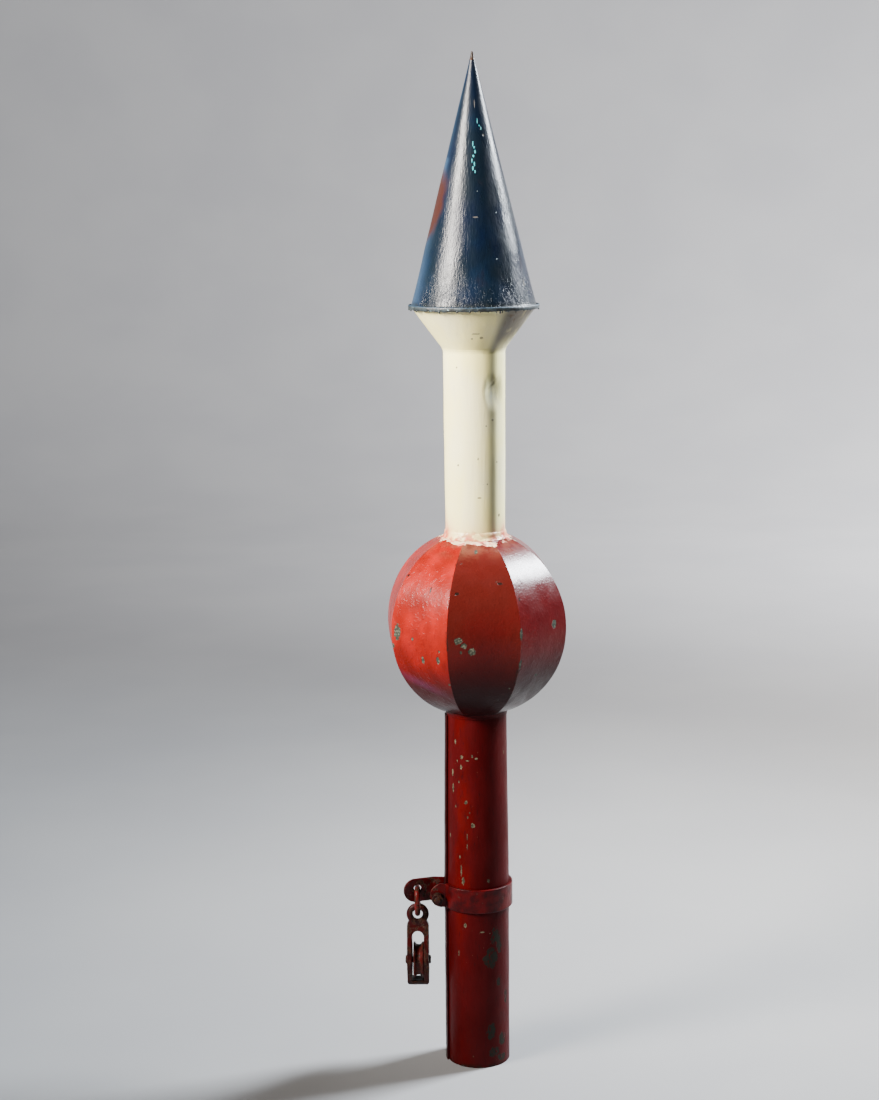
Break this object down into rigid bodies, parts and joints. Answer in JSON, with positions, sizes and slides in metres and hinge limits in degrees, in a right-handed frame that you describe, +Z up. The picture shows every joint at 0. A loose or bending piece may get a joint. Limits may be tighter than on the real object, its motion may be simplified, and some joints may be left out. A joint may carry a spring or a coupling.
{
  "type": "mast-head finial with halyard block",
  "caption": "Painted sheet-metal finial for a signal mast: blue spire, cream neck and gored red ball on a mast socket, with a strap clamp carrying a hanging halyard block.",
  "frame": {"origin": "on the mast's axis at the foot of the socket", "axes": "+Z up along the mast towards the spire, -Y towards the front, clamp ears and halyard block on the -X side"},
  "size_m": [0.22, 0.22, 1.2488],
  "materials": {
    "bare_point": "dull brown, weathered",
    "spire_paint": "glossy dark blue enamel, crazed and chipped",
    "tarred_rim": "thick dark sealing coat, uneven",
    "cream_paint": "cream enamel, aged",
    "ball_putty": "brushed cream and red over lumpy filler",
    "ball_paint": "glossy red enamel with chips",
    "red_paint": "glossy deep red enamel with chips",
    "strap_paint": "red enamel worn to rust on the ears",
    "rusted_iron": "dark rust",
    "link_paint": "red paint over rusty wire",
    "block_paint": "thin red paint over rust",
    "sheave_iron": "rusty, red paint worn from the groove"
  },
  "bodies": {
    "mast_head": {"spire_point": "bare_point", "spire_cone": "spire_paint", "rim_hem": "tarred_rim", "funnel": "cream_paint", "funnel_solder": "cream_paint", "neck_tube": "cream_paint", "ball_top_solder": "ball_putty", "ball_gore_1": "ball_paint", "ball_gore_2": "ball_paint", "ball_gore_3": "ball_paint", "ball_gore_4": "ball_paint", "ball_gore_5": "ball_paint", "ball_gore_6": "ball_paint", "ball_gore_7": "ball_paint", "ball_gore_8": "ball_paint", "ball_bottom_solder": "red_paint", "mast_socket": "red_paint", "clamp_strap": "strap_paint", "clamp_bolt": "rusted_iron", "clamp_nut": "rusted_iron", "nut_washer": "rusted_iron", "head_washer": "rusted_iron"},
    "link": {"hanging_link": "link_paint"},
    "block": {"block_shell": "block_paint", "sheave_axle": "rusted_iron"},
    "sheave": {"sheave": "sheave_iron"}
  },
  "joints": [
    {"name": "link_swing", "type": "hinge", "parent": "mast_head", "child": "link", "pos_m": [-0.076, 0.00333, 0.2223], "axis": [0, 1, 0], "range_deg": [-7, 60]},
    {"name": "block_swing", "type": "hinge", "parent": "link", "child": "block", "pos_m": [-0.076, 0.00333, 0.191], "axis": [1, 0, 0], "range_deg": [-18, 18]},
    {"name": "sheave_spin", "type": "hinge", "parent": "block", "child": "sheave", "pos_m": [-0.0754, 0.00333, 0.1283], "axis": [1, 0, 0], "continuous": true}
  ]
}
